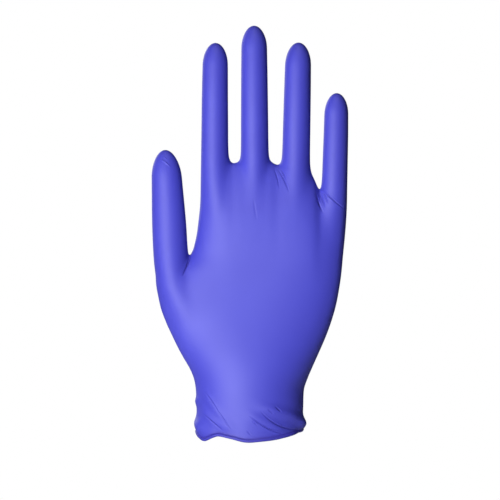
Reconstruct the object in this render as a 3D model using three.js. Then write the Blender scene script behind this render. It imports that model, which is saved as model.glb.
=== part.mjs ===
import * as THREE from 'three';

// A nitrile exam glove, dipped in one piece: a thin seamless film in the shape of a hand with its fingers
// up, hollow all through, open at the wrist, where the edge of the film is rolled into a bead.
// Millimetres. +Z runs up the fingers, +X towards the little finger and -Y out of the back of the hand.
// The origin is the middle of the wrist opening.

// Driving dimensions: the film and its rolled edge, then the worn hand's main sizes.
const FILM = 1.0;
const BEAD = 2.6;
const HAND_LENGTH = 156;
const PALM_BREADTH = 85;
const PALM_THICKNESS = 27;
const FINGER_BREADTH = 15.5;
const WRIST_BREADTH = 61.5;
const WRIST_THICKNESS = 45;
const CUFF_LENGTH = 34;
const RIM_WAVE = 4;
const RIM_FLARE = 1.2;
const FOLD_WIDTH = 3;
const FOLD_RISE = 1.1;

// The palm thins towards the webs over WEB_SLOPE, and by EDGE_SLOPE of that beyond its own sides.
const WEB_SLOPE = 56;
const EDGE_SLOPE = 0.2;

// How widely the forms run into each other: at the finger forks, at the thumb's, and at the thumb's heel,
// which begins below the thumb's fork and is reached HEEL_REACH further down.
const FORK_BLEND = 3.87;
const THUMB_BLEND = 4.24;
const HEEL_BLEND = 6.7;
const HEEL_REACH = 14;

// A finger's tip is a dome TIP_DOME of its breadth high. Its root starts to sink into the palm ROOT_START
// below the fork, and is gone ROOT_FADE of its length further down.
const TIP_DOME = 0.85;
const ROOT_START = 4;
const ROOT_FADE = 0.85;

// The thumb and the four fingers. long runs from the fork beside the finger to its tip, and fork is the
// height of that fork, both as shares of HAND_LENGTH. wide and deep are shares of FINGER_BREADTH, mid is the
// middle of the root as a share of PALM_BREADTH, and lean and bend are how far the tip goes towards +X and
// towards the palm, as shares of its own length. swell is how much of the form's deepening the root takes,
// and shift how much of its widening goes to the +X side.
const FINGERS = [
  {
    long: 0.45, wide: 0.974, deep: 0.968, fork: 1.0,
    mid: -0.239, lean: 0.01, bend: 0.1, swell: 0.95, shift: 1,
  },
  {
    long: 0.514, wide: 0.994, deep: 1.0, fork: 1.0,
    mid: 0.036, lean: -0.005, bend: 0.11, swell: 1, shift: 0,
  },
  {
    long: 0.4565, wide: 1.0, deep: 0.968, fork: 0.995,
    mid: 0.314, lean: 0.022, bend: 0.11, swell: 1, shift: 0,
  },
  {
    long: 0.359, wide: 0.916, deep: 0.852, fork: 0.905,
    mid: 0.578, lean: 0.02, bend: 0.08, swell: 0.5, shift: -1,
  },
];
const THUMB = {
  long: 0.392, wide: 1.213, deep: 1.097, fork: 0.662,
  mid: -0.5325, lean: -0.052, bend: 0.06, swell: 1, shift: 0,
};

// How a finger widens and deepens from its tip (at 1) down to its fork (at 0) and on down its buried root,
// as shares of its own breadth and depth.
const FINGER_FORM = [
  { at: -0.6, wide: 1.7, deep: 1.7, drift: 0 },
  { at: -0.35, wide: 1.45, deep: 1.5, drift: 0 },
  { at: -0.15, wide: 1.18, deep: 1.27, drift: 0 },
  { at: 0.0, wide: 1.06, deep: 1.1, drift: 0 },
  { at: 0.15, wide: 1.03, deep: 1.03, drift: 0 },
  { at: 0.3, wide: 1.02, deep: 1.0, drift: 0 },
  { at: 0.65, wide: 0.99, deep: 0.97, drift: 0 },
  { at: 1.0, wide: 0.94, deep: 0.9, drift: 0 },
];

// The thumb, whose root swings in across the palm: drift is the shift of its middle as a share of length.
const THUMB_FORM = [
  { at: -0.6, wide: 1.25, deep: 1.5, drift: 0.14 },
  { at: -0.31, wide: 1.12, deep: 1.36, drift: 0.03 },
  { at: -0.15, wide: 1.075, deep: 1.26, drift: 0.009 },
  { at: 0.0, wide: 1.06, deep: 1.15, drift: 0.0 },
  { at: 0.3, wide: 1.045, deep: 1.02, drift: 0.0 },
  { at: 0.7, wide: 0.94, deep: 0.95, drift: 0.0 },
  { at: 1.0, wide: 0.86, deep: 0.85, drift: 0.0 },
];

// Sections of the wrist and palm. at is the height as a share of HAND_LENGTH, palm how far the section has
// changed from the wrist's breadth and thickness to the palm's, left and right its sides as shares of that
// breadth, and square the power of its oval, 2 for an ellipse.
const HAND_FORM = [
  { at: -0.06, palm: 0.0, left: -0.496, right: 0.507, square: 2.0 },
  { at: 0.1, palm: 0.0, left: -0.496, right: 0.507, square: 2.0 },
  { at: 0.17, palm: 0.02, left: -0.498, right: 0.507, square: 2.0 },
  { at: 0.21, palm: 0.06, left: -0.506, right: 0.531, square: 2.0 },
  { at: 0.25, palm: 0.15, left: -0.523, right: 0.554, square: 2.0 },
  { at: 0.3, palm: 0.3, left: -0.552, right: 0.576, square: 2.05 },
  { at: 0.36, palm: 0.5, left: -0.586, right: 0.594, square: 2.1 },
  { at: 0.42, palm: 0.68, left: -0.618, right: 0.606, square: 2.3 },
  { at: 0.48, palm: 0.82, left: -0.628, right: 0.615, square: 2.45 },
  { at: 0.54, palm: 0.92, left: -0.595, right: 0.62, square: 2.6 },
  { at: 0.6, palm: 0.97, left: -0.51, right: 0.629, square: 2.8 },
  { at: 0.66, palm: 1.0, left: -0.404, right: 0.635, square: 3.3 },
  { at: 0.72, palm: 1.0, left: -0.367, right: 0.645, square: 3.7 },
  { at: 0.8, palm: 1.0, left: -0.349, right: 0.653, square: 4.0 },
  { at: 0.9, palm: 1.0, left: -0.335, right: 0.66, square: 4.0 },
  { at: 1.1, palm: 1.0, left: -0.33, right: 0.664, square: 4.0 },
];

// The line of the webs between the fingers. at is a share of PALM_BREADTH, up one of HAND_LENGTH.
const KNUCKLE_LINE = [
  { at: -0.34, up: 0.99 },
  { at: -0.16, up: 1.012 },
  { at: -0.11, up: 1.005 },
  { at: -0.06, up: 1.01 },
  { at: 0.13, up: 1.011 },
  { at: 0.19, up: 0.999 },
  { at: 0.25, up: 1.003 },
  { at: 0.36, up: 0.985 },
  { at: 0.43, up: 0.953 },
  { at: 0.485, up: 0.893 },
  { at: 0.66, up: 0.86 },
];

// The rolled rim round the wrist. at is the turn from the +X side over the back of the hand, 1 for all the
// way round, up its height as a share of RIM_WAVE and out how far it stands out as a share of RIM_FLARE.
// The flare is spread over RIM_FADE of CUFF_LENGTH.
const RIM_FADE = 0.35;
const RIM_FORM = [
  { at: 0.0, up: 1.05, out: -1.3 },
  { at: 0.056, up: 0.88, out: -0.8 },
  { at: 0.102, up: 0.57, out: 0.1 },
  { at: 0.167, up: -0.01, out: 0.0 },
  { at: 0.22, up: -0.3, out: 0.1 },
  { at: 0.262, up: -0.4, out: 0.2 },
  { at: 0.306, up: 0.1, out: 0.0 },
  { at: 0.35, up: 0.46, out: -0.1 },
  { at: 0.374, up: 0.2, out: 0.2 },
  { at: 0.408, up: -0.26, out: 0.4 },
  { at: 0.44, up: 0.1, out: 0.2 },
  { at: 0.5, up: 0.85, out: -0.4 },
  { at: 0.597, up: 0.9, out: 0.0 },
  { at: 0.694, up: 0.6, out: 0.2 },
  { at: 0.806, up: 0.95, out: 0.0 },
  { at: 0.917, up: 0.8, out: 0.4 },
  { at: 1.0, up: 1.05, out: -1.3 },
];

// Folds where the film gathers at the wrist, each from one end to the other. turn0 and turn1 are turns
// round the wrist as above, up0 and up1 heights as shares of CUFF_LENGTH, wide and rise shares of
// FOLD_WIDTH and FOLD_RISE. A fold is even over FOLD_EVEN of its length and fades out to both ends.
const FOLD_EVEN = 0.5;
const CUFF_FOLDS = [
  { turn0: 0.411, up0: 0.72, turn1: 0.294, up1: 0.1, wide: 0.8, rise: 0.5 },
  { turn0: 0.422, up0: 0.42, turn1: 0.311, up1: 0.12, wide: 0.8, rise: 0.6 },
  { turn0: 0.253, up0: 0.38, turn1: 0.139, up1: 0.07, wide: 0.8, rise: 0.6 },
  { turn0: 0.215, up0: 0.5, turn1: 0.03, up1: 0.22, wide: 0.95, rise: 1.3 },
  { turn0: 0.569, up0: 0.56, turn1: 0.444, up1: 0.6, wide: 0.8, rise: 0.7 },
  { turn0: 0.556, up0: 0.25, turn1: 0.417, up1: 0.13, wide: 1.3, rise: 1.6 },
  { turn0: 0.075, up0: 0.19, turn1: -0.069, up1: 0.22, wide: 1.2, rise: 2.3 },
  { turn0: 0.728, up0: 0.4, turn1: 0.606, up1: 0.12, wide: 0.9, rise: 0.5 },
  { turn0: 0.783, up0: 0.42, turn1: 0.903, up1: 0.15, wide: 0.9, rise: 0.5 },
];

// Soft swellings of the palm side, behind the thumb's root and the little finger's, and the hollow between
// them. across and wide are shares of PALM_BREADTH, up and tall of HAND_LENGTH and rise of PALM_THICKNESS.
const PALM_PADS = [
  { across: -0.28, up: 0.48, wide: 0.22, tall: 0.2, rise: 0.16 },
  { across: 0.4, up: 0.5, wide: 0.2, tall: 0.24, rise: 0.1 },
  { across: 0.1, up: 0.62, wide: 0.2, tall: 0.14, rise: -0.05 },
];

// Mesh steps: columns across a finger, rows up each stretch of the glove, and steps round the bead. The
// lines across the finger roots sag by RUNG_SAG of HAND_LENGTH, and the outer fingers' roots start
// SIDE_DROP of it below the forks beside them. A half thickness below TOUCHING is none, and points that are
// the same to WELD_DIGITS decimals are one.
const COLUMNS = 6;
const CUFF_ROWS = 12;
const HEEL_ROWS = 11;
const PALM_ROWS = 10;
const FINGER_ROWS = 13;
const BEAD_STEPS = 7;
const SEARCH_STEPS = 44;
const RUNG_SAG = 0.055;
const SIDE_DROP = 0.035;
const TOUCHING = 0.01;
const WELD_DIGITS = 5;

const lerp = THREE.MathUtils.lerp;

// A smooth curve through a table's column: cubic between rows, with each row's slope from its neighbours.
function curve(table, column, at) {
  const last = table.length - 1;
  const place = Math.min(Math.max(at, table[0].at), table[last].at);
  let i = 0;
  while (i < last - 1 && place > table[i + 1].at) i += 1;
  const slope = (j) => {
    const a = table[Math.max(j - 1, 0)];
    const b = table[Math.min(j + 1, last)];
    return (b[column] - a[column]) / (b.at - a.at);
  };
  const span = table[i + 1].at - table[i].at;
  const t = (place - table[i].at) / span;
  const rest = 1 - t;
  return table[i][column] * (1 + 2 * t) * rest * rest
    + table[i + 1][column] * (3 - 2 * t) * t * t
    + span * t * rest * (slope(i) * rest - slope(i + 1) * t);
}

// How far a place has gone past a start, as a share of a reach, squared; 0 before the start.
const past = (place, start, reach) => (Math.max(0, place - start) / reach) ** 2;

// Each form gives, at a place x, z in the plane of the hand, the square of its half thickness there, which
// runs smoothly below 0 outside it, and the depth y of its middle.
function handForm(x, z) {
  const at = z / HAND_LENGTH;
  const palm = curve(HAND_FORM, 'palm', at);
  const breadth = lerp(WRIST_BREADTH, PALM_BREADTH, palm);
  const half = lerp(WRIST_THICKNESS, PALM_THICKNESS, palm) / 2;
  const left = curve(HAND_FORM, 'left', at) * breadth;
  const right = curve(HAND_FORM, 'right', at) * breadth;
  const across = Math.abs((2 * x - left - right) / (right - left)) ** curve(HAND_FORM, 'square', at);
  const top = curve(KNUCKLE_LINE, 'up', x / PALM_BREADTH) * HAND_LENGTH;
  const slope = past(z, top - WEB_SLOPE, WEB_SLOPE) * Math.max(1 - across, EDGE_SLOPE);
  return { square: half * half * (1 - across - slope), y: 0 };
}

// The x of a finger's middle at a height: a straight line, a swing in over the palm for the thumb, and a
// shift that keeps one side of a widening root in place.
function fingerMid(finger, form, z) {
  const length = finger.long * HAND_LENGTH;
  const at = (z - finger.fork * HAND_LENGTH) / length;
  const wider = Math.max(0, curve(form, 'wide', at) - 1) * finger.wide * FINGER_BREADTH / 2;
  const drift = (finger.lean * at + curve(form, 'drift', at)) * length;
  return finger.mid * PALM_BREADTH + drift + finger.shift * wider;
}

function fingerForm(finger, form, x, z) {
  const root = finger.fork * HAND_LENGTH;
  const length = finger.long * HAND_LENGTH;
  const at = (z - root) / length;
  const deeper = lerp(1, curve(form, 'deep', at), finger.swell);
  const half = deeper * finger.deep * FINGER_BREADTH / 2;
  const reach = curve(form, 'wide', at) * finger.wide * FINGER_BREADTH / 2;
  const across = (x - fingerMid(finger, form, z)) / reach;
  const dome = TIP_DOME * finger.wide * FINGER_BREADTH;
  const buried = past(root - z, ROOT_START, ROOT_FADE * length);
  const closed = across ** 2 + past(z, root + length - dome, dome) + buried;
  return { square: half * half * (1 - closed), y: finger.bend * length * Math.max(0, at) ** 2 };
}

// The forms joined, with the fork between two of them filled in smoothly: the logarithm of the sum of
// their exponentials, which is the larger one where they are far apart.
function joined(forms, blend) {
  const most = Math.max(...forms.map((f) => f.square));
  const weights = forms.map((f) => Math.exp((f.square - most) / blend));
  const sum = weights.reduce((a, b) => a + b);
  const y = forms.reduce((total, f, i) => total + f.y * weights[i], 0) / sum;
  return { square: most + blend * Math.log(sum), y };
}

function glove(x, z) {
  const fingers = FINGERS.map((finger) => fingerForm(finger, FINGER_FORM, x, z));
  const hand = joined([handForm(x, z), ...fingers], FORK_BLEND ** 2);
  const below = Math.min(1, past(THUMB.fork * HAND_LENGTH - z, 0, HEEL_REACH));
  const blend = lerp(THUMB_BLEND ** 2, HEEL_BLEND ** 2, below);
  return joined([hand, fingerForm(THUMB, THUMB_FORM, x, z)], blend);
}

// The outline's x at height z, between a place inside the hand and one outside it.
function edge(z, inside, outside) {
  let [a, b] = [inside, outside];
  for (let i = 0; i < SEARCH_STEPS; i += 1) {
    const middle = (a + b) / 2;
    if (glove(middle, z).square > 0) a = middle;
    else b = middle;
  }
  return (a + b) / 2;
}

// The thinnest place between two fingers' middles at height z, found by closing in on it by thirds.
function valley(z, from, to) {
  let [a, b] = [from, to];
  for (let i = 0; i < SEARCH_STEPS; i += 1) {
    const [low, high] = [lerp(a, b, 1 / 3), lerp(a, b, 2 / 3)];
    if (glove(low, z).square < glove(high, z).square) b = high;
    else a = low;
  }
  return (a + b) / 2;
}

// The fork between two fingers: the lowest place of the gap, where the film turns over from front to back.
function forkOf(midLeft, midRight, height) {
  let [low, high] = [height - WEB_SLOPE, height + WEB_SLOPE];
  for (let i = 0; i < SEARCH_STEPS; i += 1) {
    const z = (low + high) / 2;
    if (glove(valley(z, midLeft(z), midRight(z)), z).square > 0) low = z;
    else high = z;
  }
  const z = (low + high) / 2;
  return { x: valley(z, midLeft(z), midRight(z)), z };
}

const evenly = (count) => Array.from({ length: count + 1 }, (_, i) => i / count);
const bothEnds = (t) => (1 - Math.cos(Math.PI * t)) / 2;
const lastEnd = (t) => Math.sin(Math.PI * t / 2);
const halfColumns = evenly(COLUMNS).map(bothEnds);

// A side of a finger or of the hand: its outline at steps between two heights.
function side(from, to, steps, inside, outside) {
  return steps.map((step) => {
    const z = lerp(from.z, to.z, step);
    if (step === 0) return from;
    if (step === 1) return to;
    return { x: edge(z, inside(z), outside(z)), z };
  });
}

// A line across, from one place to another, that sags in the middle.
function rung(from, to, steps, sag) {
  return steps.map((step) => {
    if (step === 0) return from;
    if (step === 1) return to;
    return { x: lerp(from.x, to.x, step), z: lerp(from.z, to.z, step) - 4 * sag * step * (1 - step) };
  });
}

// The places inside four lines, each row blended from the lines on its two sides and above and below.
function field(bottom, top, left, right, columns, rows) {
  const last = columns.length - 1;
  const end = rows.length - 1;
  return rows.map((r, j) => columns.map((c, i) => {
    if (j === 0) return bottom[i];
    if (j === end) return top[i];
    if (i === 0) return left[j];
    if (i === last) return right[j];
    const mix = (key) => lerp(bottom[i][key], top[i][key], r) + lerp(left[j][key], right[j][key], c)
      - lerp(lerp(bottom[0][key], bottom[last][key], c), lerp(top[0][key], top[last][key], c), r);
    return { x: mix('x'), z: mix('z') };
  }));
}

// The mesh under construction: points, each once, and four-sided faces of their numbers.
const points = [];
const numbers = new Map();
const faces = [];

function pointAt(place, front) {
  const { square, y } = glove(place.x, place.z);
  const half = square > TOUCHING ** 2 ? Math.sqrt(square) : 0;
  const point = new THREE.Vector3(place.x, y + (front ? -half : half), place.z);
  const key = point.toArray().map((v) => v.toFixed(WELD_DIGITS)).join(' ');
  if (!numbers.has(key)) {
    numbers.set(key, points.length);
    points.push(point);
  }
  return numbers.get(key);
}

// One side of the glove over a field of places; the palm's side is turned round to face out.
function sheet(places, front) {
  const grid = places.map((row) => row.map((place) => pointAt(place, front)));
  for (let j = 1; j < grid.length; j += 1) {
    for (let i = 1; i < grid[j].length; i += 1) {
      const face = [grid[j - 1][i - 1], grid[j - 1][i], grid[j][i], grid[j][i - 1]];
      faces.push(front ? face : face.reverse());
    }
  }
  return grid;
}

const handMid = (z) => fingerMid(FINGERS[1], FINGER_FORM, z);
const farLeft = () => -2 * PALM_BREADTH;
const farRight = () => 2 * PALM_BREADTH;
const sag = RUNG_SAG * HAND_LENGTH;
const drop = SIDE_DROP * HAND_LENGTH;

// A finger from the line across its root to its tip.
function addFinger(finger, form, from, to, sideLeft, sideRight) {
  const rows = evenly(FINGER_ROWS).map(bothEnds);
  const mid = (z) => fingerMid(finger, form, z);
  let low = finger.fork * HAND_LENGTH;
  let high = low + HAND_LENGTH;
  for (let i = 0; i < SEARCH_STEPS; i += 1) {
    const z = (low + high) / 2;
    if (glove(mid(z), z).square > 0) low = z;
    else high = z;
  }
  const tip = { x: mid((low + high) / 2), z: (low + high) / 2 };
  const root = rung(from, to, halfColumns, sag);
  const left = side(from, tip, rows, mid, sideLeft);
  const right = side(to, tip, rows, mid, sideRight);
  const places = field(root, root.map(() => tip), left, right, halfColumns, rows);
  sheet(places, true);
  sheet(places, false);
  return root;
}

// The forks, and the heights where the outer sides of the hand pass into the fingers.
const thumbMid = (z) => fingerMid(THUMB, THUMB_FORM, z);
const mids = FINGERS.map((finger) => (z) => fingerMid(finger, FINGER_FORM, z));
const forks = FINGERS.slice(1).map((finger, i) => forkOf(mids[i], mids[i + 1], finger.fork * HAND_LENGTH));
const thumbFork = forkOf(thumbMid, mids[0], THUMB.fork * HAND_LENGTH);
const outline = (z, inside, outside) => ({ x: edge(z, inside(z), outside(z)), z });
const gaps = [
  (z) => valley(z, thumbMid(z), mids[0](z)),
  ...forks.map((_, i) => (z) => valley(z, mids[i](z), mids[i + 1](z))),
  farRight,
];
const indexSide = outline(forks[0].z - drop, mids[0], gaps[0]);
const littleSide = outline(forks.at(-1).z - drop, mids.at(-1), farRight);
const thumbSide = outline(thumbFork.z - drop, thumbMid, farLeft);
const heelSide = outline(thumbFork.z, handMid, farRight);

// The fingers and the thumb, each leaving the line across its root for the palm to join.
const ends = [indexSide, ...forks, littleSide];
const roots = FINGERS.map((finger, i) => (
  addFinger(finger, FINGER_FORM, ends[i], ends[i + 1], gaps[i], gaps[i + 1])
));
const thumbRoot = addFinger(THUMB, THUMB_FORM, thumbSide, thumbFork, farLeft, gaps[0]);

// The palm, between the thumb's fork and the fingers' roots.
const palmColumns = evenly(FINGERS.length * COLUMNS).map(bothEnds);
const palmRows = evenly(PALM_ROWS).map(bothEnds);
const knuckles = roots.flatMap((root, i) => (i === 0 ? root : root.slice(1)));
const heelTop = rung(thumbFork, heelSide, palmColumns, sag);
const palmLeft = side(thumbFork, indexSide, palmRows, mids[0], gaps[0]);
const palmRight = side(heelSide, littleSide, palmRows, mids.at(-1), farRight);
const palm = field(heelTop, knuckles, palmLeft, palmRight, palmColumns, palmRows);
sheet(palm, true);
sheet(palm, false);

// The heel of the hand and the wrist, down to the wavy rim.
const turnOf = (share, front) => (front ? (1 - share) / 2 : (1 + share) / 2);
const rimHeight = (turn) => RIM_WAVE * curve(RIM_FORM, 'up', turn);
const cuffTop = CUFF_LENGTH / thumbFork.z;
const wristRows = [
  ...evenly(CUFF_ROWS).map((t) => t * cuffTop),
  ...evenly(HEEL_ROWS).slice(1).map((t) => lerp(cuffTop, 1, lastEnd(t))),
];
const wristColumns = evenly((FINGERS.length + 1) * COLUMNS);
const wristSpread = wristColumns.map(bothEnds);
const wristTop = [...thumbRoot, ...heelTop.slice(1)];
const leftFoot = outline(rimHeight(turnOf(0, true)), handMid, farLeft);
const rightFoot = outline(rimHeight(turnOf(1, true)), handMid, farRight);
const wristLeft = side(leftFoot, thumbSide, wristRows, handMid, farLeft);
const wristRight = side(rightFoot, heelSide, wristRows, handMid, farRight);

function wristFoot(front) {
  return wristColumns.map((column, i) => {
    if (column === 0) return leftFoot;
    if (column === 1) return rightFoot;
    const z = rimHeight(turnOf(column, front));
    const left = edge(z, handMid(z), farLeft());
    const right = edge(z, handMid(z), farRight());
    return { x: lerp(left, right, wristSpread[i]), z };
  });
}

const wrist = [true, false].map((front) => (
  sheet(field(wristFoot(front), wristTop, wristLeft, wristRight, wristSpread, wristRows), front)
));
const rim = [...wrist[0][0].slice(0, -1), ...wrist[1][0].slice(1).reverse()];

// Outward normals at the points, from the faces round each.
function normalsOf(at) {
  const normals = at.map(() => new THREE.Vector3());
  for (const [a, b, c, d] of faces) {
    const across = new THREE.Vector3().subVectors(at[c], at[a]);
    const up = new THREE.Vector3().subVectors(at[d], at[b]);
    const normal = across.cross(up);
    for (const corner of new Set([a, b, c, d])) normals[corner].add(normal);
  }
  return normals.map((normal) => normal.normalize());
}

// How far a fold stands up at a place round the wrist: a round ridge along a line that fades at both ends.
function foldRise(fold, turn, z) {
  const girth = Math.PI * (WRIST_BREADTH + WRIST_THICKNESS) / 2;
  const away = turn - (fold.turn0 + fold.turn1) / 2;
  const here = new THREE.Vector2(
    (away - Math.round(away)) * girth,
    z - (fold.up0 + fold.up1) * CUFF_LENGTH / 2,
  );
  const run = new THREE.Vector2((fold.turn1 - fold.turn0) * girth, (fold.up1 - fold.up0) * CUFF_LENGTH);
  const along = 2 * Math.abs(here.dot(run)) / run.lengthSq();
  const off = here.cross(run) / run.length() / (fold.wide * FOLD_WIDTH);
  return fold.rise * FOLD_RISE * Math.exp(-(off ** 2) - past(along, FOLD_EVEN, 1 - FOLD_EVEN));
}

// How far a pad swells up at a place of the palm side.
function padRise(pad, x, z) {
  const across = (x / PALM_BREADTH - pad.across) / pad.wide;
  const up = (z / HAND_LENGTH - pad.up) / pad.tall;
  return pad.rise * PALM_THICKNESS * Math.exp(-(across ** 2) - up ** 2);
}

// How far a point stands out of the plain form: the wrist's folds, the flare of the rim, the palm's pads.
function relief(point, normal) {
  const angle = Math.atan2(-point.y / WRIST_THICKNESS, point.x / WRIST_BREADTH);
  const turn = angle / (2 * Math.PI) + (angle < 0 ? 1 : 0);
  const flare = RIM_FLARE * curve(RIM_FORM, 'out', turn);
  const folds = CUFF_FOLDS.reduce((sum, fold) => sum + foldRise(fold, turn, point.z), 0);
  const pads = PALM_PADS.reduce((sum, pad) => sum + padRise(pad, point.x, point.z), 0);
  return flare * Math.exp(-past(point.z, 0, RIM_FADE * CUFF_LENGTH)) + folds + pads * Math.max(0, normal.y);
}

const plainNormals = normalsOf(points);
const outer = points.map((point, i) => (
  point.clone().addScaledVector(plainNormals[i], relief(point, plainNormals[i]))
));
const normals = normalsOf(outer);
const inner = outer.map((point, i) => point.clone().addScaledVector(normals[i], -FILM));

// The bead: a roll round the film's edge, from its outside down round to its inside. It is a circle in the
// plane of the film's outward normal and its downward run, with the film's middle coming into its top.
function beadRings() {
  const radius = BEAD / 2;
  const depth = Math.sqrt(radius ** 2 - (FILM / 2) ** 2);
  const start = Math.atan2(-depth, FILM / 2);
  return evenly(BEAD_STEPS).slice(1, -1).map((t) => rim.map((number, i) => {
    const before = outer[rim[(i + rim.length - 1) % rim.length]];
    const after = outer[rim[(i + 1) % rim.length]];
    const out = normals[number];
    const down = new THREE.Vector3().subVectors(after, before).cross(out).normalize();
    const angle = start + t * (Math.PI - 2 * start);
    return new THREE.Vector3().addVectors(outer[number], inner[number]).multiplyScalar(0.5)
      .addScaledVector(down, depth + radius * Math.sin(angle))
      .addScaledVector(out, radius * Math.cos(angle));
  }));
}

// The whole skin: outside, inside turned round, and the bead between them.
function gloveGeometry() {
  const rings = beadRings();
  const all = [...outer, ...inner, ...rings.flat()];
  const count = points.length;
  const quads = [
    ...faces,
    ...faces.map((face) => face.map((corner) => corner + count).reverse()),
  ];
  const rows = [
    rim,
    ...rings.map((ring, j) => ring.map((_, i) => 2 * count + j * rim.length + i)),
    rim.map((number) => number + count),
  ];
  for (let j = 1; j < rows.length; j += 1) {
    for (let i = 0; i < rim.length; i += 1) {
      const next = (i + 1) % rim.length;
      quads.push([rows[j][i], rows[j][next], rows[j - 1][next], rows[j - 1][i]]);
    }
  }
  const triangles = [];
  for (const [a, b, c, d] of quads) {
    const halves = all[a].distanceTo(all[c]) <= all[b].distanceTo(all[d])
      ? [[a, b, c], [a, c, d]]
      : [[a, b, d], [b, c, d]];
    for (const half of halves) {
      if (new Set(half).size === 3) triangles.push(...half);
    }
  }
  const geometry = new THREE.BufferGeometry().setFromPoints(all);
  geometry.setIndex(triangles);
  geometry.computeVertexNormals();
  return geometry;
}

const nitrile = new THREE.MeshStandardMaterial({ color: 0x5b58d6, roughness: 0.5, metalness: 0 });
const film = new THREE.Mesh(gloveGeometry(), nitrile);
film.name = 'nitrile_glove';

const model = new THREE.Group();
model.add(film);
export default model;
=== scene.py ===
"""A nitrile exam glove in its worn form: a thin blue-violet film dipped in the shape of a hand, with its
fingers up, hollow and open at the wrist, where its edge is rolled into a bead."""

import math
import bpy
import numpy as np
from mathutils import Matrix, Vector


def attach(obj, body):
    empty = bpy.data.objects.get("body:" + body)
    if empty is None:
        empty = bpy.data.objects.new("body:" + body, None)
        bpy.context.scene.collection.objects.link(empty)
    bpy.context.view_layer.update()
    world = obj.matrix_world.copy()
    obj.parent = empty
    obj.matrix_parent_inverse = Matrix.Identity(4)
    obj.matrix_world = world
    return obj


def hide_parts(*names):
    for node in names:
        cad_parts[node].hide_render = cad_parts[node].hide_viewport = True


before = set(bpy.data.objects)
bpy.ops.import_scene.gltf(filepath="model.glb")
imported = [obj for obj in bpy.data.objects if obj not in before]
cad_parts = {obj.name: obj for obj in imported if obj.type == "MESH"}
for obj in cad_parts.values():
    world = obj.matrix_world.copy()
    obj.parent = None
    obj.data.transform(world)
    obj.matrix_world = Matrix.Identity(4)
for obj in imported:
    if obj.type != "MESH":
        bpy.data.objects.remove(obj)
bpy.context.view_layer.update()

mm = 0.001

# The camera looks level at the back of the hand, from far enough away that the fingers stay parallel, and
# frames the whole glove with a little air round it.

PICTURE_HEIGHT = 287.75 * mm
CAMERA_DISTANCE = 4.0
CAMERA_AIM = (0.3 * mm, 0.0, 106.8 * mm)
SENSOR = 36.0
NEAREST, FARTHEST = 0.05, 20.0


def add_camera():
    """A level camera at a distance in front of the aim, its lens from the height that the frame covers."""
    camera = bpy.data.cameras.new("view_camera")
    camera.sensor_width = SENSOR
    camera.lens = SENSOR * CAMERA_DISTANCE / PICTURE_HEIGHT
    camera.clip_start, camera.clip_end = NEAREST, FARTHEST
    holder = bpy.data.objects.new("view_camera", camera)
    holder.location = (CAMERA_AIM[0], CAMERA_AIM[1] - CAMERA_DISTANCE, CAMERA_AIM[2])
    holder.rotation_euler = (math.pi / 2, 0.0, 0.0)
    bpy.context.collection.objects.link(holder)
    bpy.context.scene.camera = holder


add_camera()


# The skin is the glove's form without its folds: a finger is a round tube with a domed end, the palm a
# flat oval shell, and the film runs from one into the next without a seam.

HAND_LENGTH = 156.0
PALM_BREADTH = 85.0
PALM_THICKNESS = 27.0
FINGER_BREADTH = 15.5
WRIST_BREADTH = 61.5
WRIST_THICKNESS = 45.0
CUFF_LENGTH = 34.0

# The palm thins towards the webs over WEB_SLOPE, and by EDGE_SLOPE of that beyond its own sides. The
# blends are how widely the forms run into each other: at the finger forks, at the thumb's, and at the
# thumb's heel, which is reached HEEL_REACH below its fork. A finger's tip is a dome TIP_DOME of its breadth
# high. Its root starts to sink into the palm ROOT_START below the fork, and is gone ROOT_FADE of its length
# further down.

WEB_SLOPE = 56.0
EDGE_SLOPE = 0.2
FORK_BLEND = 3.87
THUMB_BLEND = 4.24
HEEL_BLEND = 6.7
HEEL_REACH = 14.0
TIP_DOME = 0.85
ROOT_START = 4.0
ROOT_FADE = 0.85


def table(columns, *rows):
    """Rows of numbers under named columns."""
    return np.array(list(rows), dtype=[(name, float) for name in columns.split()])


# The four fingers and the thumb. long runs from the fork beside the finger to its tip, and fork is the
# height of that fork, both as shares of HAND_LENGTH. wide and deep are shares of FINGER_BREADTH, mid is the
# middle of the root as a share of PALM_BREADTH, and lean and bend are how far the tip goes towards +X and
# towards the palm, as shares of its own length. swell is how much of the form's deepening the root takes,
# and shift how much of its widening goes to the +X side.

FINGERS = table(
    "long wide deep fork mid lean bend swell shift",
    (0.45, 0.974, 0.968, 1.0, -0.239, 0.01, 0.1, 0.95, 1.0),
    (0.514, 0.994, 1.0, 1.0, 0.036, -0.005, 0.11, 1.0, 0.0),
    (0.4565, 1.0, 0.968, 0.995, 0.314, 0.022, 0.11, 1.0, 0.0),
    (0.359, 0.916, 0.852, 0.905, 0.578, 0.02, 0.08, 0.5, -1.0),
)
THUMB = table(
    "long wide deep fork mid lean bend swell shift",
    (0.392, 1.213, 1.097, 0.662, -0.5325, -0.052, 0.06, 1.0, 0.0),
)[0]

# How broad and deep a finger is, as shares of its own breadth and depth, from its buried root (at below 0)
# up to its fork (at 0) and its tip (at 1). drift is the shift of its middle as a share of its length.

FINGER_FORM = table(
    "at wide deep drift",
    (-0.6, 1.7, 1.7, 0.0),
    (-0.35, 1.45, 1.5, 0.0),
    (-0.15, 1.18, 1.27, 0.0),
    (0.0, 1.06, 1.1, 0.0),
    (0.15, 1.03, 1.03, 0.0),
    (0.3, 1.02, 1.0, 0.0),
    (0.65, 0.99, 0.97, 0.0),
    (1.0, 0.94, 0.9, 0.0),
)
THUMB_FORM = table(
    "at wide deep drift",
    (-0.6, 1.25, 1.5, 0.14),
    (-0.31, 1.12, 1.36, 0.03),
    (-0.15, 1.075, 1.26, 0.009),
    (0.0, 1.06, 1.15, 0.0),
    (0.3, 1.045, 1.02, 0.0),
    (0.7, 0.94, 0.95, 0.0),
    (1.0, 0.86, 0.85, 0.0),
)

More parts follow.
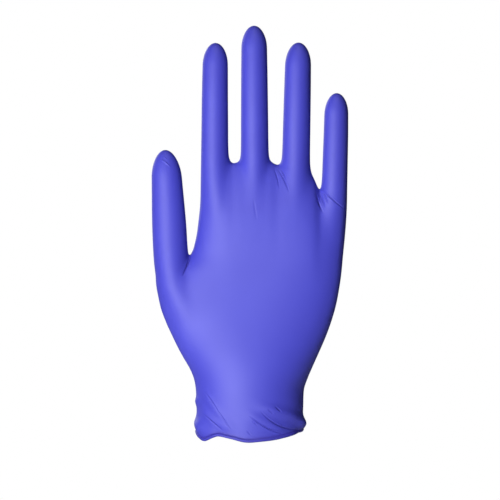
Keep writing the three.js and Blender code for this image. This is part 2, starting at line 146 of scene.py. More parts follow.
# Sections of the wrist and palm. at is the height as a share of HAND_LENGTH, palm how far the section has
# changed from the wrist's breadth and thickness to the palm's, left and right its sides as shares of that
# breadth, and square the power of its oval, 2 for an ellipse.

HAND_FORM = table(
    "at palm left right square",
    (-0.06, 0.0, -0.496, 0.507, 2.0),
    (0.1, 0.0, -0.496, 0.507, 2.0),
    (0.17, 0.02, -0.498, 0.507, 2.0),
    (0.21, 0.06, -0.506, 0.531, 2.0),
    (0.25, 0.15, -0.523, 0.554, 2.0),
    (0.3, 0.3, -0.552, 0.576, 2.05),
    (0.36, 0.5, -0.586, 0.594, 2.1),
    (0.42, 0.68, -0.618, 0.606, 2.3),
    (0.48, 0.82, -0.628, 0.615, 2.45),
    (0.54, 0.92, -0.595, 0.62, 2.6),
    (0.6, 0.97, -0.51, 0.629, 2.8),
    (0.66, 1.0, -0.404, 0.635, 3.3),
    (0.72, 1.0, -0.367, 0.645, 3.7),
    (0.8, 1.0, -0.349, 0.653, 4.0),
    (0.9, 1.0, -0.335, 0.66, 4.0),
    (1.1, 1.0, -0.33, 0.664, 4.0),
)

# The line of the webs between the fingers. at is a share of PALM_BREADTH, up one of HAND_LENGTH.

KNUCKLE_LINE = table(
    "at up",
    (-0.34, 0.99),
    (-0.16, 1.012),
    (-0.11, 1.005),
    (-0.06, 1.01),
    (0.13, 1.011),
    (0.19, 0.999),
    (0.25, 1.003),
    (0.36, 0.985),
    (0.43, 0.953),
    (0.485, 0.893),
    (0.66, 0.86),
)


def curve(rows, column, at):
    """A smooth curve through a table's column: cubic from row to row, each row's slope taken from the rows
    beside it, and level beyond the ends."""
    knots, values = rows["at"], rows[column]
    last = len(knots) - 1
    before = np.maximum(np.arange(last + 1) - 1, 0)
    after = np.minimum(np.arange(last + 1) + 1, last)
    slopes = (values[after] - values[before]) / (knots[after] - knots[before])
    place = np.clip(at, knots[0], knots[-1])
    i = np.clip(np.searchsorted(knots, place) - 1, 0, last - 1)
    span = knots[i + 1] - knots[i]
    t = (place - knots[i]) / span
    rest = 1 - t
    return (values[i] * (1 + 2 * t) * rest**2 + values[i + 1] * (3 - 2 * t) * t**2
            + span * t * rest * (slopes[i] * rest - slopes[i + 1] * t))


def past(place, start, reach):
    """How far a place has gone past a start, as a share of a reach, squared, and 0 before the start."""
    return (np.maximum(place - start, 0) / reach)**2


def lerp(a, b, t):
    """A straight blend from a to b."""
    return a + (b - a) * t


def hand_form(x, z):
    """Square of the half thickness of wrist and palm: that of an oval between the two sides at height z,
    less the square of how far z has come up the slope to the webs."""
    at = z / HAND_LENGTH
    palm = curve(HAND_FORM, "palm", at)
    breadth = lerp(WRIST_BREADTH, PALM_BREADTH, palm)
    half = lerp(WRIST_THICKNESS, PALM_THICKNESS, palm) / 2
    left = curve(HAND_FORM, "left", at) * breadth
    right = curve(HAND_FORM, "right", at) * breadth
    across = np.abs((2 * x - left - right) / (right - left))**curve(HAND_FORM, "square", at)
    top = curve(KNUCKLE_LINE, "up", x / PALM_BREADTH) * HAND_LENGTH
    slope = past(z, top - WEB_SLOPE, WEB_SLOPE)
    return half**2 * (1 - across - slope * np.maximum(1 - across, EDGE_SLOPE)), np.zeros_like(at)


def finger_mid(finger, form, z):
    """The x of a finger's middle at height z: a straight line, a swing in over the palm for the thumb,
    and a shift that keeps one side of a widening root in place."""
    length = finger["long"] * HAND_LENGTH
    at = (z - finger["fork"] * HAND_LENGTH) / length
    wider = np.maximum(curve(form, "wide", at) - 1, 0) * finger["wide"] * FINGER_BREADTH / 2
    drift = (finger["lean"] * at + curve(form, "drift", at)) * length
    return finger["mid"] * PALM_BREADTH + drift + finger["shift"] * wider


def finger_form(finger, form, x, z):
    """Square of a finger's half thickness, that of a round tube with a domed tip and a root that fades out
    inside the palm, and the depth of its middle, which bends away with the square of the height."""
    root = finger["fork"] * HAND_LENGTH
    length = finger["long"] * HAND_LENGTH
    at = (z - root) / length
    half = lerp(1, curve(form, "deep", at), finger["swell"]) * finger["deep"] * FINGER_BREADTH / 2
    reach = curve(form, "wide", at) * finger["wide"] * FINGER_BREADTH / 2
    across = (x - finger_mid(finger, form, z)) / reach
    dome = TIP_DOME * finger["wide"] * FINGER_BREADTH
    tip = past(z, root + length - dome, dome)
    fade = past(root - z, ROOT_START, ROOT_FADE * length)
    return half**2 * (1 - (across**2 + tip + fade)), finger["bend"] * length * np.maximum(at, 0)**2


def joined(forms, blend):
    """Forms joined with their forks filled in smoothly: the logarithm of the sum of their exponentials,
    and the depths weighted by their share of that sum."""
    squares = np.array([form[0] for form in forms])
    square = blend * np.logaddexp.reduce(squares / blend)
    weights = np.exp((squares - square) / blend)
    return square, sum(weight * form[1] for weight, form in zip(weights, forms))


def glove(x, z):
    """Square of the glove's half thickness at x, z, below 0 outside it, and the depth of its middle."""
    fingers = [finger_form(finger, FINGER_FORM, x, z) for finger in FINGERS]
    hand = joined([hand_form(x, z), *fingers], FORK_BLEND**2)
    below = np.minimum(past(THUMB["fork"] * HAND_LENGTH - z, 0, HEEL_REACH), 1)
    blend = lerp(THUMB_BLEND**2, HEEL_BLEND**2, below)
    return joined([hand, finger_form(THUMB, THUMB_FORM, x, z)], blend)


# The film is laid out as a net over the hand, front and back, whose points are shared along the outline:
# one field for each finger and the thumb, one for the palm, and one for the heel of the hand and the cuff.
# The lines across the roots sag by RUNG_SAG of HAND_LENGTH, and the outer fingers' roots start SIDE_DROP of
# it below the forks beside them.

FINGER_COLUMNS = 20
FINGER_ROWS = 66
THUMB_ROWS = 58
PALM_ROWS = 48
HEEL_ROWS = 40
CUFF_ROWS = 60
SEARCH_STEPS = 34
FORK_TURNS = 8
RUNG_SAG = 0.055
SIDE_DROP = 0.035

# The rolled rim round the wrist. at is the turn from the +X side over the back of the hand, 1 for all the
# way round, up its height as a share of RIM_WAVE, out how far it stands out as a share of RIM_FLARE, and
# proud how far the bead stands out of the film as a share of its own radius.

RIM_WAVE = 4.0
RIM_FORM = table(
    "at up out proud",
    (0.0, 1.05, -1.3, -0.5),
    (0.056, 0.88, -0.8, -0.5),
    (0.102, 0.57, 0.1, -0.3),
    (0.167, -0.01, 0.0, -0.2),
    (0.22, -0.3, 0.1, 0.0),
    (0.262, -0.4, 0.2, 0.3),
    (0.306, 0.1, 0.0, 0.7),
    (0.35, 0.46, -0.1, 0.7),
    (0.374, 0.2, 0.2, 0.5),
    (0.408, -0.26, 0.4, 0.2),
    (0.44, 0.1, 0.2, 0.0),
    (0.5, 0.85, -0.4, 0.0),
    (0.597, 0.9, 0.0, 0.2),
    (0.694, 0.6, 0.2, 0.3),
    (0.806, 0.95, 0.0, 0.1),
    (0.917, 0.8, 0.4, 0.2),
    (1.0, 1.05, -1.3, -0.5),
)


def edge(z, inside, outside):
    """The outline's x at heights z, halving the stretch between a place inside and one outside."""
    a, b = np.broadcast_to(inside, z.shape).astype(float), np.broadcast_to(outside, z.shape).astype(float)
    for _ in range(SEARCH_STEPS):
        middle = (a + b) / 2
        within = glove(middle, z)[0] > 0
        a, b = np.where(within, middle, a), np.where(within, b, middle)
    return (a + b) / 2


def valley(z, a, b):
    """The thinnest place between two fingers' middles at heights z, closing in on it by thirds."""
    a, b = np.broadcast_to(a, z.shape).astype(float), np.broadcast_to(b, z.shape).astype(float)
    for _ in range(SEARCH_STEPS):
        low, high = lerp(a, b, 1 / 3), lerp(a, b, 2 / 3)
        left = glove(low, z)[0] < glove(high, z)[0]
        a, b = np.where(left, a, low), np.where(left, high, b)
    return (a + b) / 2


def top_of(x_at, low, high):
    """The greatest height between two heights where the line x_at is still inside the hand."""
    low, high = np.array([low]), np.array([high])
    for _ in range(SEARCH_STEPS):
        z = (low + high) / 2
        within = glove(x_at(z), z)[0] > 0
        low, high = np.where(within, z, low), np.where(within, high, z)
    return (low + high) / 2


def fork_of(mid_left, mid_right, height):
    """The lowest place of the gap between two fingers, where the film turns over from front to back."""
    z = np.array([height])
    for _ in range(FORK_TURNS):
        x = valley(z, mid_left(z), mid_right(z))
        z = top_of(lambda _: x, z[0] - WEB_SLOPE, z[0] + WEB_SLOPE)
    return np.array([x[0], z[0]])


def spread(count):
    """Steps from 0 to 1 that are close together at both ends, as a circle's are seen from its side."""
    return (1 - np.cos(np.pi * np.linspace(0, 1, count + 1))) / 2


def side(start, end, steps, inside, outside):
    """A stretch of the outline from one place to another, at steps between their heights."""
    z = lerp(start[1], end[1], steps)
    places = np.stack([edge(z, inside(z), outside(z)), z], axis=-1)
    places[0], places[-1] = start, end
    return places


def rung(start, end, steps):
    """A line across from one place to another that sags in a parabola."""
    places = lerp(np.asarray(start), np.asarray(end), steps[:, None])
    places[:, 1] -= 4 * RUNG_SAG * HAND_LENGTH * steps * (1 - steps)
    return places


def field(bottom, top, left, right, columns, rows):
    """The places inside four lines: straight from bottom to top, moved by how far each side bends away
    from straight, times the square of the share of the way over to that side."""
    across, up = columns[None, :, None], rows[:, None]
    left_bend = left - lerp(bottom[0], top[0], up)
    right_bend = right - lerp(bottom[-1], top[-1], up)
    places = lerp(bottom[None], top[None], up[:, None])
    places += left_bend[:, None] * (1 - across)**2 + right_bend[:, None] * across**2
    places[0], places[-1], places[:, 0], places[:, -1] = bottom, top, left, right
    return places


def mid_of(finger, form):
    """The middle of a finger as a function of height."""
    return lambda z: finger_mid(finger, form, z)


def beside(sign):
    """A place well outside the hand at any height, on its left for -1 and on its right for 1."""
    return lambda z: np.full_like(z, sign * 2 * PALM_BREADTH)


def between(left, right):
    """The thinnest place between two middles as a function of height."""
    return lambda z: valley(z, left(z), right(z))


def on_outline(height, inside, outside):
    """The outline's place at one height."""
    z = np.array([height])
    return np.array([edge(z, inside(z), outside(z))[0], height])


thumb_mid = mid_of(THUMB, THUMB_FORM)
mids = [mid_of(finger, FINGER_FORM) for finger in FINGERS]
gaps = [between(a, b) for a, b in zip([thumb_mid, *mids], mids)] + [beside(1)]
forks = [fork_of(mids[i], mids[i + 1], FINGERS["fork"][i + 1] * HAND_LENGTH) for i in range(len(mids) - 1)]
thumb_fork = fork_of(thumb_mid, mids[0], THUMB["fork"] * HAND_LENGTH)
drop = SIDE_DROP * HAND_LENGTH
index_side = on_outline(forks[0][1] - drop, mids[0], gaps[0])
little_side = on_outline(forks[-1][1] - drop, mids[-1], beside(1))
thumb_side = on_outline(thumb_fork[1] - drop, thumb_mid, beside(-1))
heel_side = on_outline(thumb_fork[1], mids[1], beside(1))
finger_steps = spread(FINGER_COLUMNS)


def finger_field(finger, form, start, end, side_left, side_right, count):
    """The places of a finger from the line across its root to its tip, and that line."""
    mid = mid_of(finger, form)
    height = finger["fork"] * HAND_LENGTH
    tip_height = top_of(mid, height, height + HAND_LENGTH)
    tip = np.array([mid(tip_height)[0], tip_height[0]])
    root = rung(start, end, finger_steps)
    rows = spread(count)
    left = side(start, tip, rows, mid, side_left)
    right = side(end, tip, rows, mid, side_right)
    top = np.repeat(tip[None], len(finger_steps), axis=0)
    return field(root, top, left, right, finger_steps, rows), root


ends = [index_side, *forks, little_side]
finger_fields = [
    finger_field(finger, FINGER_FORM, ends[i], ends[i + 1], gaps[i], gaps[i + 1], FINGER_ROWS)
    for i, finger in enumerate(FINGERS)
]
thumb_field, thumb_root = finger_field(
    THUMB, THUMB_FORM, thumb_side, thumb_fork, beside(-1), gaps[0], THUMB_ROWS,
)

palm_steps = spread(len(FINGERS) * FINGER_COLUMNS)
palm_rows = spread(PALM_ROWS)
knuckles = np.concatenate([finger_fields[0][1]] + [root[1:] for _, root in finger_fields[1:]])
heel_top = rung(thumb_fork, heel_side, palm_steps)
palm_field = field(
    heel_top, knuckles,
    side(thumb_fork, index_side, palm_rows, mids[0], gaps[0]),
    side(heel_side, little_side, palm_rows, mids[-1], beside(1)),
    palm_steps, palm_rows,
)

cuff_top = CUFF_LENGTH / thumb_fork[1]
wrist_rows = np.concatenate([
    np.linspace(0, cuff_top, CUFF_ROWS + 1),
    lerp(cuff_top, 1, np.sin(np.pi / 2 * np.linspace(0, 1, HEEL_ROWS + 1)))[1:],
])
wrist_top = np.concatenate([thumb_root, heel_top[1:]])
wrist_share = np.linspace(0, 1, len(wrist_top))
wrist_steps = spread(len(wrist_top) - 1)


def rim_height(turn):
    """Height of the film's edge at a turn round the wrist, from the +X side over the back of the hand."""
    return RIM_WAVE * curve(RIM_FORM, "up", turn)


def both_edges(z):
    """The outline's x on the left and on the right at heights z below the thumb's fork."""
    return [edge(z, mids[1](z), beside(sign)(z)) for sign in (-1, 1)]


def wrist_field(front):
    """The places of heel and cuff over the back of the hand, or over its palm: their heights run straight
    from the rim up to the top line, and so do their shares of the way across."""
    rim_z = rim_height((1 - wrist_share) / 2 if front else (1 + wrist_share) / 2)
    z = lerp(rim_z, wrist_top[:, 1], wrist_rows[:, None])
    left, right = both_edges(z)
    top_share = (wrist_top[:, 0] - left[-1]) / (right[-1] - left[-1])
    x = lerp(left, right, lerp(wrist_steps, top_share, wrist_rows[:, None]))
    places = np.stack([x, z], axis=-1)
    places[-1] = wrist_top
    return places


# Every field gives a sheet of film in front and one behind. Where two of them meet, at the outline and
# between fields, it is the same film, so the points that lie there on each other become one.

TOUCHING = 0.01
WELD_DIGITS = 5


def sheets():
    """Points, faces and the rim's point numbers: each field twice, its y the depth of the middle less or
    plus the half thickness, then points that lie on each other merged."""
    points, faces, rims = [], [], []
    count = 0
    fields = [(places, places) for places, _ in finger_fields] + [(thumb_field,) * 2, (palm_field,) * 2]
    for pair in fields + [(wrist_field(True), wrist_field(False))]:
        for places, sign in zip(pair, (-1, 1)):
            square, y = glove(places[..., 0], places[..., 1])
            half = np.sqrt(np.where(square > TOUCHING**2, square, 0))
            grid = np.stack([places[..., 0], y + sign * half, places[..., 1]], axis=-1)
            rows, columns = grid.shape[:2]
            number = count + np.arange(rows * columns).reshape(rows, columns)
            quads = np.stack([number[:-1, :-1], number[:-1, 1:], number[1:, 1:], number[1:, :-1]], axis=-1)
            quads = quads.reshape(-1, 4)
            faces.append(quads if sign < 0 else quads[:, ::-1])
            points.append(grid.reshape(-1, 3))
            rims.append(number[0])
            count += rows * columns
    points, faces = np.concatenate(points), np.concatenate(faces)
    rounded = np.round(points, WELD_DIGITS)
    _, first, same = np.unique(rounded, axis=0, return_index=True, return_inverse=True)
    same = same.ravel()
    rim = np.concatenate([rims[-2][:-1], rims[-1][:0:-1]])
    return points[first], same[faces], same[rim]


def normals_of(points, faces):
    """Outward normals at the points: the sum of their faces' own, the cross products of the diagonals."""
    across = np.cross(points[faces[:, 2]] - points[faces[:, 0]], points[faces[:, 3]] - points[faces[:, 1]])
    total = np.zeros_like(points)
    for corner in range(4):
        np.add.at(total, faces[:, corner], across)
    return total / np.linalg.norm(total, axis=1, keepdims=True)


plain, faces, rim = sheets()


# The film isn't tight at the wrist: it gathers there into slanting folds, bulges out at both sides above
# the rim, and lies over soft pads on the palm side.

# The flare is spread over RIM_FADE of CUFF_LENGTH. A fold runs from one turn and height to the other, its
# heights as shares of CUFF_LENGTH, wide and rise as shares of FOLD_WIDTH and FOLD_RISE. It is even over
# FOLD_EVEN of its length and fades out to both ends. A pad's across and wide are shares of PALM_BREADTH,
# its up and tall of HAND_LENGTH and its rise of PALM_THICKNESS.

RIM_FLARE = 1.2
RIM_FADE = 0.35
FOLD_WIDTH = 3.0
FOLD_RISE = 1.1
FOLD_EVEN = 0.5
CUFF_FOLDS = table(
    "turn0 up0 turn1 up1 wide rise",
    (0.411, 0.72, 0.294, 0.1, 0.8, 0.5),
    (0.422, 0.42, 0.311, 0.12, 0.8, 0.6),
    (0.253, 0.38, 0.139, 0.07, 0.8, 0.6),
    (0.215, 0.5, 0.03, 0.22, 0.95, 1.3),
    (0.569, 0.56, 0.444, 0.6, 0.8, 0.7),
    (0.556, 0.25, 0.417, 0.13, 1.3, 1.6),
    (0.075, 0.19, -0.069, 0.22, 1.2, 2.3),
    (0.728, 0.4, 0.606, 0.12, 0.9, 0.5),
    (0.783, 0.42, 0.903, 0.15, 0.9, 0.5),
)
PALM_PADS = table(
    "across up wide tall rise",
    (-0.28, 0.48, 0.22, 0.2, 0.16),
    (0.4, 0.5, 0.2, 0.24, 0.1),
    (0.1, 0.62, 0.2, 0.14, -0.05),
)


def turn_of(points):
    """Turn round the wrist, from the +X side over the back of the hand, 1 for all the way."""
    angle = np.arctan2(-points[:, 1] / WRIST_THICKNESS, points[:, 0] / WRIST_BREADTH)
    return (angle / (2 * np.pi)) % 1


def fold_rise(fold, turn, z):
    """How far a fold stands up round the wrist: exp(-u * u) at u widths off its line, less towards both
    ends of it."""
    girth = np.pi * (WRIST_BREADTH + WRIST_THICKNESS) / 2
    away = turn - (fold["turn0"] + fold["turn1"]) / 2
    here = np.stack([(away - np.round(away)) * girth, z - (fold["up0"] + fold["up1"]) * CUFF_LENGTH / 2])
    run = np.array([(fold["turn1"] - fold["turn0"]) * girth, (fold["up1"] - fold["up0"]) * CUFF_LENGTH])
    along = 2 * np.abs(run @ here) / (run @ run)
    off = (here[0] * run[1] - here[1] * run[0]) / np.hypot(*run) / (fold["wide"] * FOLD_WIDTH)
    return fold["rise"] * FOLD_RISE * np.exp(-off**2 - past(along, FOLD_EVEN, 1 - FOLD_EVEN))


def pad_rise(pad, x, z):
    """How far a pad swells up: exp(-(a * a + b * b)) at a widths across and b heights up from its
    middle."""
    across = (x / PALM_BREADTH - pad["across"]) / pad["wide"]
    up = (z / HAND_LENGTH - pad["up"]) / pad["tall"]
    return pad["rise"] * PALM_THICKNESS * np.exp(-across**2 - up**2)


def relief(points, normals):
    """How far the film stands out of its plain form: flare and folds at the wrist, pads over the palm."""
    turn, z = turn_of(points), points[:, 2]
    flare = RIM_FLARE * curve(RIM_FORM, "out", turn) * np.exp(-past(z, 0, RIM_FADE * CUFF_LENGTH))
    folds = sum(fold_rise(fold, turn, z) for fold in CUFF_FOLDS)
    pads = sum(pad_rise(pad, points[:, 0], z) for pad in PALM_PADS)
    return flare + folds + pads * np.maximum(normals[:, 1], 0)


plain_normals = normals_of(plain, faces)
outside = plain + plain_normals * relief(plain, plain_normals)[:, None]
out = normals_of(outside, faces)


# The film itself: its outside, its inside a film's thickness within, and the edge between them, rolled up
# on the outside into a bead when the glove was stripped off its former.

# The bead's deeper colour, partly the roll's own thickness and partly painted shade on the film next to
# it, fades out over BEAD_SHADE_REACH above it, and the painted shadow line where it lies on the film is
# GROOVE_SHADE_WIDTH wide.

FILM = 0.4
BEAD = 1.9
BEAD_STEPS = 12
BEAD_SHADE_REACH = 1.5
GROOVE_SHADE_WIDTH = 0.6


def bead_rings(inside):
    """Rings of points round the bead, each a step round a circle in the plane of the film's outward normal
    and its downward run, with the circle's middle moved out by the rim table's proud share of a radius."""
    down = np.cross(outside[np.roll(rim, -1)] - outside[np.roll(rim, 1)], out[rim])
    down /= np.linalg.norm(down, axis=1, keepdims=True)
    radius = BEAD / 2
    depth = math.sqrt(radius**2 - (FILM / 2)**2)
    start = math.atan2(-depth, FILM / 2)
    steps = np.linspace(0, 1, BEAD_STEPS + 1)[1:-1, None, None]
    angles = start + steps * (np.pi - 2 * start)
    proud = radius * curve(RIM_FORM, "proud", turn_of(outside[rim]))[:, None]
    ease = np.sqrt(np.sin(np.pi * steps))
    middle = (outside[rim] + inside[rim]) / 2 + out[rim] * proud * ease
    return middle + down * (depth + radius * np.sin(angles)) + out[rim] * radius * np.cos(angles)


def film_quads(rings):
    """Faces by their points' numbers: the outside's, the inside's the other way round, and the bead's from
    the outside's edge over the rings to the inside's edge."""
    count = len(outside)
    ring_numbers = 2 * count + np.arange(len(rings) * len(rim)).reshape(len(rings), -1)
    rows = np.concatenate([rim[None], ring_numbers, rim[None] + count])
    following = np.roll(rows, -1, axis=1)
    bead = np.stack([rows[1:], following[1:], following[:-1], rows[:-1]], axis=-1).reshape(-1, 4)
    return np.concatenate([faces, faces[:, ::-1] + count, bead])


def film_shares(rings):
    """Each point's share of the back of the hand, of the bead, which stands for the roll's thickness on the
    bead itself and for painted shade on the film just above it, of the painted shadow line where the bead
    lies on the film, which ends within the bead's first rings, and of the inside."""
    count, ring_count = len(outside), len(rings) * len(rim)
    above = np.maximum(outside[:, 2] - rim_height(turn_of(outside)), 0)
    # Painted shade on the film just above the bead, fading out upwards.
    shade_above_bead = np.exp(-above / BEAD_SHADE_REACH)
    rounds = np.repeat(np.arange(1, len(rings) + 1), len(rim))
    return {
        "back": np.concatenate([out[:, 1] < 0, np.zeros(count), np.tile(out[rim, 1] < 0, len(rings))]),
        "bead": np.concatenate([shade_above_bead, shade_above_bead, np.ones(ring_count)]),
        "groove_shade": np.concatenate([np.exp(-(above / GROOVE_SHADE_WIDTH)**2), np.zeros(count), np.exp(-rounds**2 / 2)]),
        "inside": np.concatenate([np.zeros(count), np.ones(count), np.zeros(ring_count)]),
    }


def add_film():
    """The closed skin as one smooth mesh that carries its points' shares. A quad whose points have become
    one at a tip or at the outline is a triangle, or goes."""
    inside = outside - out * FILM
    rings = bead_rings(inside)
    points = np.concatenate([outside, inside, rings.reshape(-1, 3)])
    polygons = [list(dict.fromkeys(quad)) for quad in film_quads(rings).tolist()]
    mesh = bpy.data.meshes.new("glove_film")
    mesh.from_pydata((points * mm).tolist(), [], [polygon for polygon in polygons if len(polygon) > 2])
    mesh.polygons.foreach_set("use_smooth", np.ones(len(mesh.polygons), dtype=bool))
    for name, values in film_shares(rings).items():
        mesh.attributes.new(name, "FLOAT", "POINT").data.foreach_set("value", values.astype(np.float32))
    mesh.update()
    film = bpy.data.objects.new("glove_film", mesh)
    bpy.context.collection.objects.link(film)
    return film


film = add_film()


# Nitrile is a dense blue-violet film with a satin face: a broad soft sheen, a faint grain from the former,
# hair-thin creases where the fingers spread it, and a deeper colour where the rolled edge is thick. Painted
# shade darkens the colour in the creases, on the film just above the bead and in the line where the bead
# lies on the film, and painted light lightens it on the creases' lips.

class Wire:
    """An output socket of a node. Arithmetic on wires and numbers adds Math nodes."""

    def __init__(self, tree, socket=None):
        self.tree, self.socket = tree, socket

    def node(self, kind, settings, inputs, output=0):
        """A node of a kind: its settings are made first, then its inputs, each a wire or a plain value."""
        made = self.tree.nodes.new(kind)
        for name, value in settings.items():
            setattr(made, name, value)
        for place, value in inputs.items():
            if isinstance(value, Wire):
                self.tree.links.new(value.socket, made.inputs[place])
            else:
                made.inputs[place].default_value = value
        return Wire(self.tree, made.outputs[output])

    def math(self, operation, *values):
        """A Math node of an operation on wires or numbers."""
        return self.node("ShaderNodeMath", {"operation": operation}, dict(enumerate(values)))

    def exp(self):
        return self.math("EXPONENT", self)

    def at_least(self, low):
        return self.math("MAXIMUM", self, low)

    def at_most(self, high):
        return self.math("MINIMUM", self, high)

    def dot(self, vector):
        """The dot product of a vector wire and a plain vector."""
        settings = {"operation": "DOT_PRODUCT"}
        return self.node("ShaderNodeVectorMath", settings, {0: self, 1: tuple(vector)}, "Value")

    def __add__(self, other):
        return self.math("ADD", self, other)

    def __sub__(self, other):
        return self.math("SUBTRACT", self, other)

    def __rsub__(self, other):
        return self.math("SUBTRACT", other, self)

    def __mul__(self, other):
        return self.math("MULTIPLY", self, other)

    def __neg__(self):
        return self.math("MULTIPLY", self, -1.0)

    __radd__ = __add__
    __rmul__ = __mul__


# Clouds, waves and grain are noises, given by the size of their blots and by how much they deepen the
# colour, roughen or raise the film. A crease runs from x0, z0 to x1, z1, and bow, wide and deep are in
# millimetres too. A crease with a negative depth is a fine ridge.

THIN_BLUE = (0.045, 0.048, 0.47, 1.0)
THICK_AND_SHADED_BLUE = (0.024, 0.018, 0.30, 1.0)
INSIDE_BLUE = (0.085, 0.085, 0.52, 1.0)
CLOUDS_DEEP = 0.3
# The bead's share deepens the colour for the roll's thickness and, on the film above it, as painted shade.
# The shadow line's share is painted shade only. The creases' share is painted shade in their troughs and
# painted light on their lips.
BEAD_AND_SHADE_DEEP = 0.5
GROOVE_SHADE_DEEP = 0.7
CREASE_SHADE_DEEP = 0.8
ROUGHNESS = 0.56
CLOUDS_ROUGH = 0.06
GRAIN_ROUGH = 0.03
SPECULAR = 0.6
CLOUDS = 28.0
GRAIN = 0.7
GRAIN_RISE = 0.006
WAVES = 9.0
WAVES_RISE = 0.05
CREASE_LIP = 1.1
MIX_SHARE, MIX_A, MIX_B, MIX_RESULT = 0, 6, 7, 2
CREASES = table(
    "x0 z0 x1 z1 bow wide deep",
    (-25.8, 25.6, -17.4, 13.4, 0.5, 0.45, 0.22),
    (-26.8, 13.2, -15.0, 3.3, 0.0, 0.5, 0.30),
    (-18.8, 15.4, -10.2, 3.0, 0.4, 0.45, 0.18),
    (-0.4, 12.6, 21.8, 1.2, -1.9, 0.45, 0.40),
    (1.6, 9.1, 4.8, 6.4, 0.0, 0.45, 0.16),
    (6.4, 14.8, 30.8, 3.8, -3.2, 0.5, 0.40),
    (14.8, 17.4, 18.4, 14.2, 0.0, 0.5, 0.34),
    (10.6, 16.2, 13.8, 13.0, 0.0, 0.5, 0.20),
    (-1.3, 3.6, 1.2, 0.8, 0.0, 0.5, 0.14),
    (14.3, 153.6, 17.4, 142.0, 0.5, 0.5, 0.22),
    (16.3, 153.8, 22.9, 140.2, 0.5, 0.5, 0.30),
    (18.0, 153.6, 21.1, 147.4, 0.2, 0.5, 0.26),
    (38.3, 139.6, 42.8, 127.6, -0.3, 0.6, 0.32),
    (40.8, 139.6, 43.8, 131.2, 0.0, 0.5, 0.28),
    (42.3, 140.4, 45.6, 133.4, 0.0, 0.45, 0.24),
    (41.2, 142.0, 54.9, 130.4, -0.2, 0.45, 0.34),
    (-51.4, 159.4, -45.0, 154.4, 0.3, 0.45, -0.22),
    (-49.8, 160.9, -46.0, 158.0, 0.0, 0.4, -0.12),
    (-33.4, 105.4, -38.2, 91.6, 0.5, 0.6, 0.6),
    (-33.9, 101.5, -36.6, 94.5, 0.3, 0.45, -0.3),
    (2.5, 136.2, 4.4, 124.2, 0.0, 0.7, 0.08),
)


def crease(flat, line):
    """Height of a crease at u widths off its line: (lip * u - 1) * exp(-u * u), a trough with a low lip on
    one side, bowed by a parabola and fading to both ends. The colour takes it too, as painted shade in the
    trough and painted light on the lip."""
    start, end = np.array([line["x0"], line["z0"]]), np.array([line["x1"], line["z1"]])
    run, middle = end - start, (start + end) / 2
    length = np.hypot(*run)
    ahead = 2 * run / length**2
    aside = np.array([-run[1], run[0]]) / length / line["wide"]
    along = flat.dot((*ahead, -ahead @ middle))
    inner = 1 - along * along
    u = flat.dot((*aside, -aside @ middle)) - inner * (line["bow"] / line["wide"])
    return (u * CREASE_LIP - 1) * (-(u * u)).exp() * inner.at_least(0.0) * line["deep"]


def nitrile():
    """The film's material."""
    material = bpy.data.materials.new("nitrile_film")
    material.use_nodes = True
    tree = material.node_tree
    shader = tree.nodes["Principled BSDF"]
    start = Wire(tree)
    spot = start.node("ShaderNodeTexCoord", {}, {}, "Object")
    scaled = {0: spot, "Scale": 1 / mm}
    place = start.node("ShaderNodeVectorMath", {"operation": "SCALE"}, scaled, "Vector")
    x, z = (start.node("ShaderNodeSeparateXYZ", {}, {0: place}, axis) for axis in "XZ")
    flat = start.node("ShaderNodeCombineXYZ", {}, {"X": x, "Y": z, "Z": 1.0})
    back, bead, groove_shade, inside = (
        start.node("ShaderNodeAttribute", {"attribute_name": name}, {}, "Fac")
        for name in ("back", "bead", "groove_shade", "inside")
    )

    def noise(size):
        """A noise between 0 and 1 whose blots are about a size across."""
        settings = {"Vector": place, "Scale": 1 / size, "Detail": 1.0}
        return start.node("ShaderNodeTexNoise", {}, settings, "Fac")

    def mixed(share, a, b):
        """Colour a turning to b by a share, through the colour sockets of a Mix node."""
        inputs = {MIX_SHARE: share, MIX_A: a, MIX_B: b}
        return start.node("ShaderNodeMix", {"data_type": "RGBA"}, inputs, MIX_RESULT)

    creases = crease(flat, CREASES[0])
    for line in CREASES[1:]:
        creases = creases + crease(flat, line)
    creases = creases * back
    grain, waves, clouds = noise(GRAIN), noise(WAVES), noise(CLOUDS)
    height = creases + grain * GRAIN_RISE + waves * WAVES_RISE
    # The colour deepens with the film's own clouds and the roll's thickness, and with painted shade: on the
    # film just above the bead, in the shadow line where the bead lies on the film and in the creases'
    # troughs. It is lighter on the creases' lips and on the fine ridges, as painted light.
    thick_and_shade = clouds * CLOUDS_DEEP + bead * BEAD_AND_SHADE_DEEP + groove_shade * GROOVE_SHADE_DEEP - creases * CREASE_SHADE_DEEP
    film_colour = mixed(thick_and_shade.at_least(0.0).at_most(1.0), THIN_BLUE, THICK_AND_SHADED_BLUE)
    colour = mixed(inside, film_colour, INSIDE_BLUE)
    roughness = clouds * CLOUDS_ROUGH + grain * GRAIN_ROUGH + ROUGHNESS
    shader.inputs["Specular IOR Level"].default_value = SPECULAR
    bump = start.node("ShaderNodeBump", {}, {"Strength": 1.0, "Distance": mm, "Height": height})
    tree.links.new(colour.socket, shader.inputs["Base Color"])
    tree.links.new(roughness.socket, shader.inputs["Roughness"])
    tree.links.new(bump.socket, shader.inputs["Normal"])
    return material


film.data.materials.append(nitrile())
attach(film, "root")
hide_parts("nitrile_glove")


# The studio: a pale round floor well below the wrist, and white all round. A wide soft lamp stands to the
# left of the camera, a weak one hangs above in front, and the widest lights the palm side from behind.

# turn and rise are degrees, and aim is the height on the glove's own axis that a lamp faces.

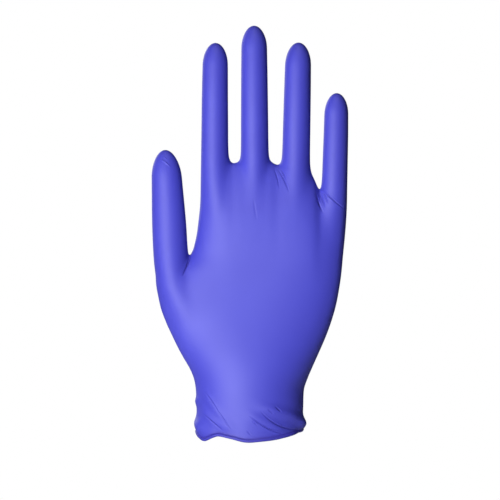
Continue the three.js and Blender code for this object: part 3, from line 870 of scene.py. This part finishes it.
FLOOR_HEIGHT = -100 * mm
FLOOR_RADIUS = 0.6
FLOOR_SIDES = 96
FLOOR_GREY = (0.8, 0.8, 0.8, 1.0)
FLOOR_ROUGH = 0.9
WHITE = (1.0, 1.0, 1.0, 1.0)
AIR_LIGHT = 0.02
LAMPS = table(
    "turn rise away wide tall power aim",
    (27.0, 2.0, 1.0, 0.5, 0.6, 15.5, 0.05),
    (0.0, 70.0, 1.2, 0.4, 0.4, 3.5, 0.11),
    (148.0, 20.0, 1.6, 0.9, 0.9, 11.0, 0.11),
)


def add_floor():
    """A flat disc, points round a circle and one face, that the camera sees as almost white."""
    angles = 2 * np.pi * np.arange(FLOOR_SIDES) / FLOOR_SIDES
    ring = np.stack([np.cos(angles) * FLOOR_RADIUS, np.sin(angles) * FLOOR_RADIUS,
                     np.full(FLOOR_SIDES, FLOOR_HEIGHT)], axis=-1)
    mesh = bpy.data.meshes.new("floor")
    mesh.from_pydata(ring.tolist(), [], [list(range(FLOOR_SIDES))])
    material = bpy.data.materials.new("pale_floor")
    material.use_nodes = True
    tree = material.node_tree
    matt = tree.nodes["Principled BSDF"]
    matt.inputs["Base Color"].default_value = FLOOR_GREY
    matt.inputs["Roughness"].default_value = FLOOR_ROUGH
    start = Wire(tree)
    pale = start.node("ShaderNodeEmission", {}, {"Color": FLOOR_GREY})
    seen = start.node("ShaderNodeLightPath", {}, {}, "Is Camera Ray")
    both = start.node("ShaderNodeMixShader", {}, {0: seen, 1: Wire(tree, matt.outputs["BSDF"]), 2: pale})
    tree.links.new(both.socket, tree.nodes["Material Output"].inputs["Surface"])
    mesh.materials.append(material)
    floor = bpy.data.objects.new("floor", mesh)
    bpy.context.collection.objects.link(floor)


def add_lamp(lamp):
    """A soft rectangle of light, at a turn to the left of the camera and a rise above it, facing a point
    at the aim's height on the glove's own axis."""
    turn, rise = math.radians(lamp["turn"]), math.radians(lamp["rise"])
    away = Vector((-math.sin(turn) * math.cos(rise), -math.cos(turn) * math.cos(rise), math.sin(rise)))
    light = bpy.data.lights.new("lamp", "AREA")
    light.shape = "RECTANGLE"
    light.size, light.size_y = lamp["wide"], lamp["tall"]
    light.energy = lamp["power"]
    holder = bpy.data.objects.new("lamp", light)
    holder.location = Vector((0.0, 0.0, lamp["aim"])) + away * lamp["away"]
    holder.rotation_euler = (-away).to_track_quat("-Z", "Y").to_euler()
    holder.visible_camera = False
    bpy.context.collection.objects.link(holder)


def add_studio_air():
    """A weak even light from all round that the camera sees as white."""
    world = bpy.data.worlds.new("studio")
    bpy.context.scene.world = world
    world.use_nodes = True
    air = Wire(world.node_tree)
    dim = air.node("ShaderNodeBackground", {}, {"Color": WHITE, "Strength": AIR_LIGHT})
    bright = air.node("ShaderNodeBackground", {}, {"Color": WHITE, "Strength": 1.0})
    seen = air.node("ShaderNodeLightPath", {}, {}, "Is Camera Ray")
    both = air.node("ShaderNodeMixShader", {}, {0: seen, 1: dim, 2: bright})
    air.tree.links.new(both.socket, air.tree.nodes["World Output"].inputs["Surface"])


add_floor()
for lamp in LAMPS:
    add_lamp(lamp)
add_studio_air()
bpy.context.scene.view_settings.view_transform = "Standard"
